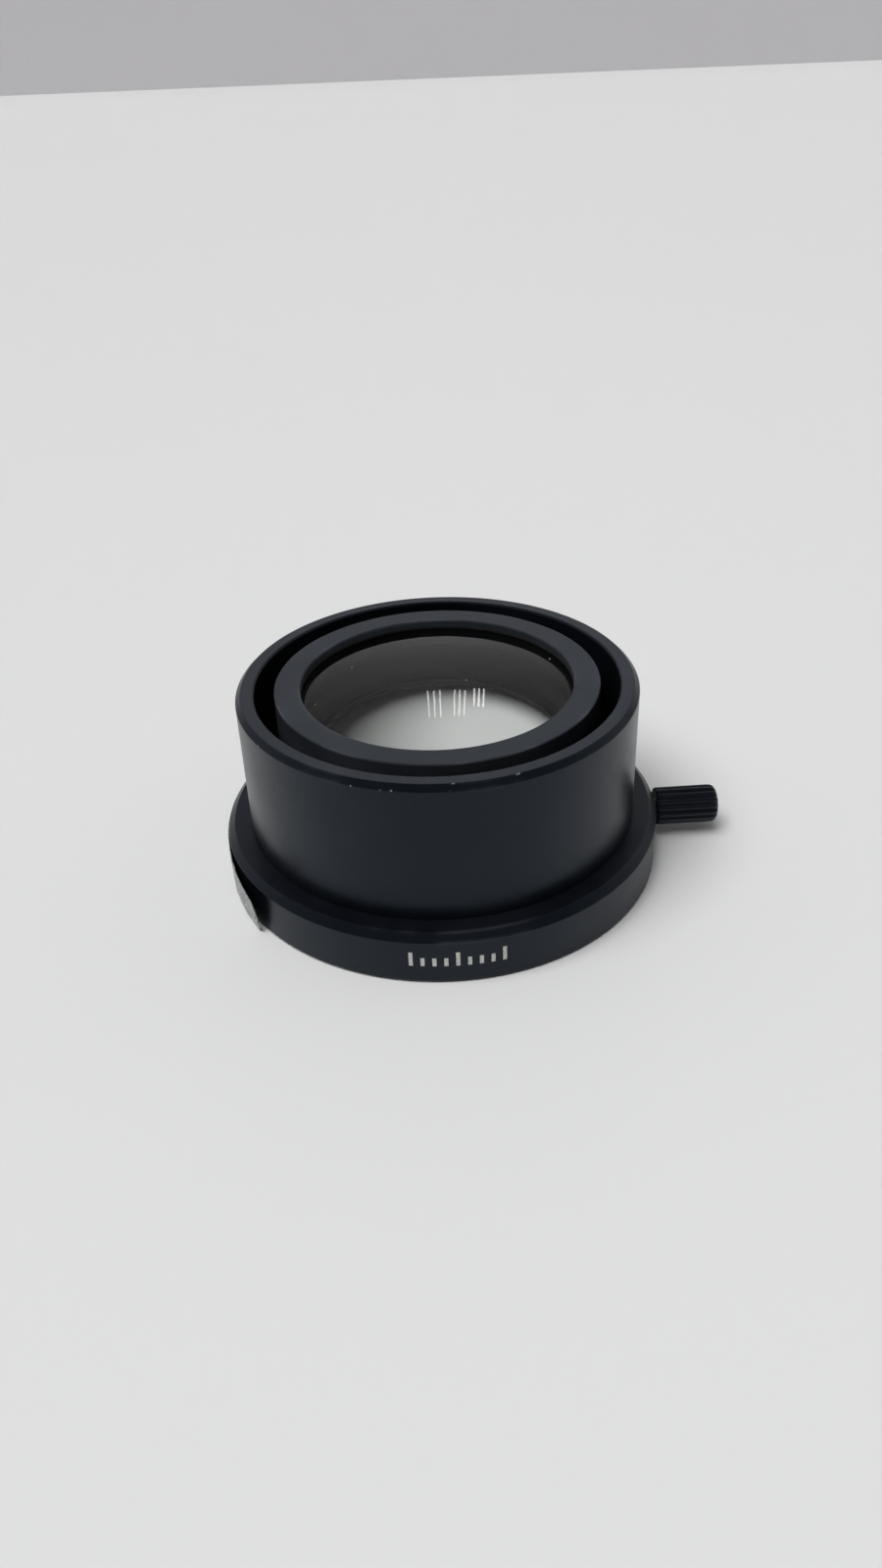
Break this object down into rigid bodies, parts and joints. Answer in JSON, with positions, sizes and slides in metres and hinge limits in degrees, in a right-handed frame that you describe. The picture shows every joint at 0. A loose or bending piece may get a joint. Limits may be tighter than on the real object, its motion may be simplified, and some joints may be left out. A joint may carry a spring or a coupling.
{
  "type": "enlarger lens",
  "caption": "Flanged clamp-on darkroom lens: round barrel, domed front glass in its cell, open clamp socket underneath and a fluted side thumbscrew.",
  "frame": {"origin": "centre of the clamp socket's open face, on the optical axis, in the plane that the lens stands on", "axes": "+Z along the optical axis from the flange to the front glass, +X along the clamp screw towards its knob, +Y a quarter turn from the screw"},
  "size_m": [0.0834, 0.072, 0.0321],
  "materials": {
    "black_anodised": "satin black anodised, fine turned",
    "cell_anodised": "satin dark grey anodised",
    "knob_anodised": "black anodised, fluted",
    "matt_black": "matt black, anti-reflection",
    "optical_glass": "polished, coated",
    "steel": "plain machined",
    "brass": "plain machined",
    "nylon": "natural nylon",
    "rubber": "matt",
    "foil": "satin foil, finely hatched"
  },
  "bodies": {
    "housing": {"base_flange": "black_anodised", "outer_barrel": "black_anodised", "lens_cell": "cell_anodised", "cell_shim": "steel", "cell_lock_ring": "matt_black", "id_label": "foil", "flange_screw_1": "steel", "flange_screw_2": "steel", "flange_screw_3": "steel", "flange_screw_4": "steel", "crown_element": "optical_glass", "flint_element": "optical_glass", "front_gasket": "rubber", "spacer_ring": "matt_black", "rear_retaining_ring": "matt_black", "light_baffle": "matt_black", "clamp_bush": "brass"},
    "pad_carrier": {"pressure_pad": "nylon"},
    "clamp_screw": {"clamp_stud": "steel", "clamp_knob": "knob_anodised"}
  },
  "joints": [
    {"name": "clamp_advance", "type": "slide", "parent": "housing", "child": "pad_carrier", "axis": [1, 0, 0], "range_m": [-0.00025, 0.002]},
    {"name": "clamp_turn", "type": "hinge", "parent": "pad_carrier", "child": "clamp_screw", "pos_m": [0.036, 0, 0.0048], "axis": [1, 0, 0], "range_deg": [-181, 1441]}
  ],
  "couplings": [
    {"joint": "clamp_turn", "follows": "clamp_advance", "rad_per_m": 12566}
  ]
}
